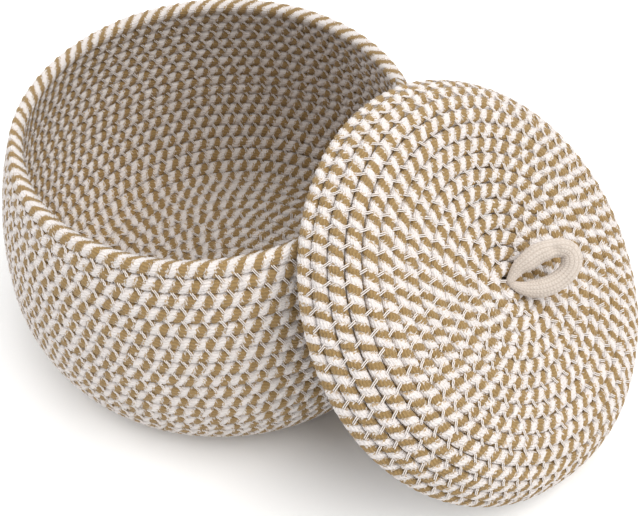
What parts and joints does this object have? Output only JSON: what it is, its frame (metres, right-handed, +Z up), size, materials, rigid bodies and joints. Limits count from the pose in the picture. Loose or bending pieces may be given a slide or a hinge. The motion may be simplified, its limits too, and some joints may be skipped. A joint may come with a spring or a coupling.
{
  "type": "knitting basket",
  "caption": "Round bulging basket of coiled, sewn two-tone cotton rope; its domed lid, with a cord loop handle, leans on the rim.",
  "frame": {"origin": "middle of the basket's flat underside, on the floor it stands on", "axes": "+Z up; +X from the basket towards the lid that leans on it; +Y by the right-hand rule"},
  "size_m": [0.3914, 0.2682, 0.1833],
  "materials": {
    "two_tone_rope": "matte white and tan twisted cotton rope",
    "natural_cord": "matte knitted natural cotton cord"
  },
  "bodies": {
    "basket": {"basket_floor_coil": "two_tone_rope", "basket_wall_coil": "two_tone_rope"},
    "lid": {"lid_coil": "two_tone_rope", "handle_knot": "natural_cord"},
    "handle": {"handle_loop": "natural_cord"}
  },
  "joints": [
    {"name": "lid_lift", "type": "slide", "parent": "basket", "child": "lid", "axis": [0, 0, 1], "range_m": [0, 0.18]},
    {"name": "handle_flop", "type": "hinge", "parent": "lid", "child": "handle", "pos_m": [0.18878, 0.01, 0.1133], "axis": [-0.6756, 0.2419, 0.6965], "range_deg": [-131, 25]}
  ]
}
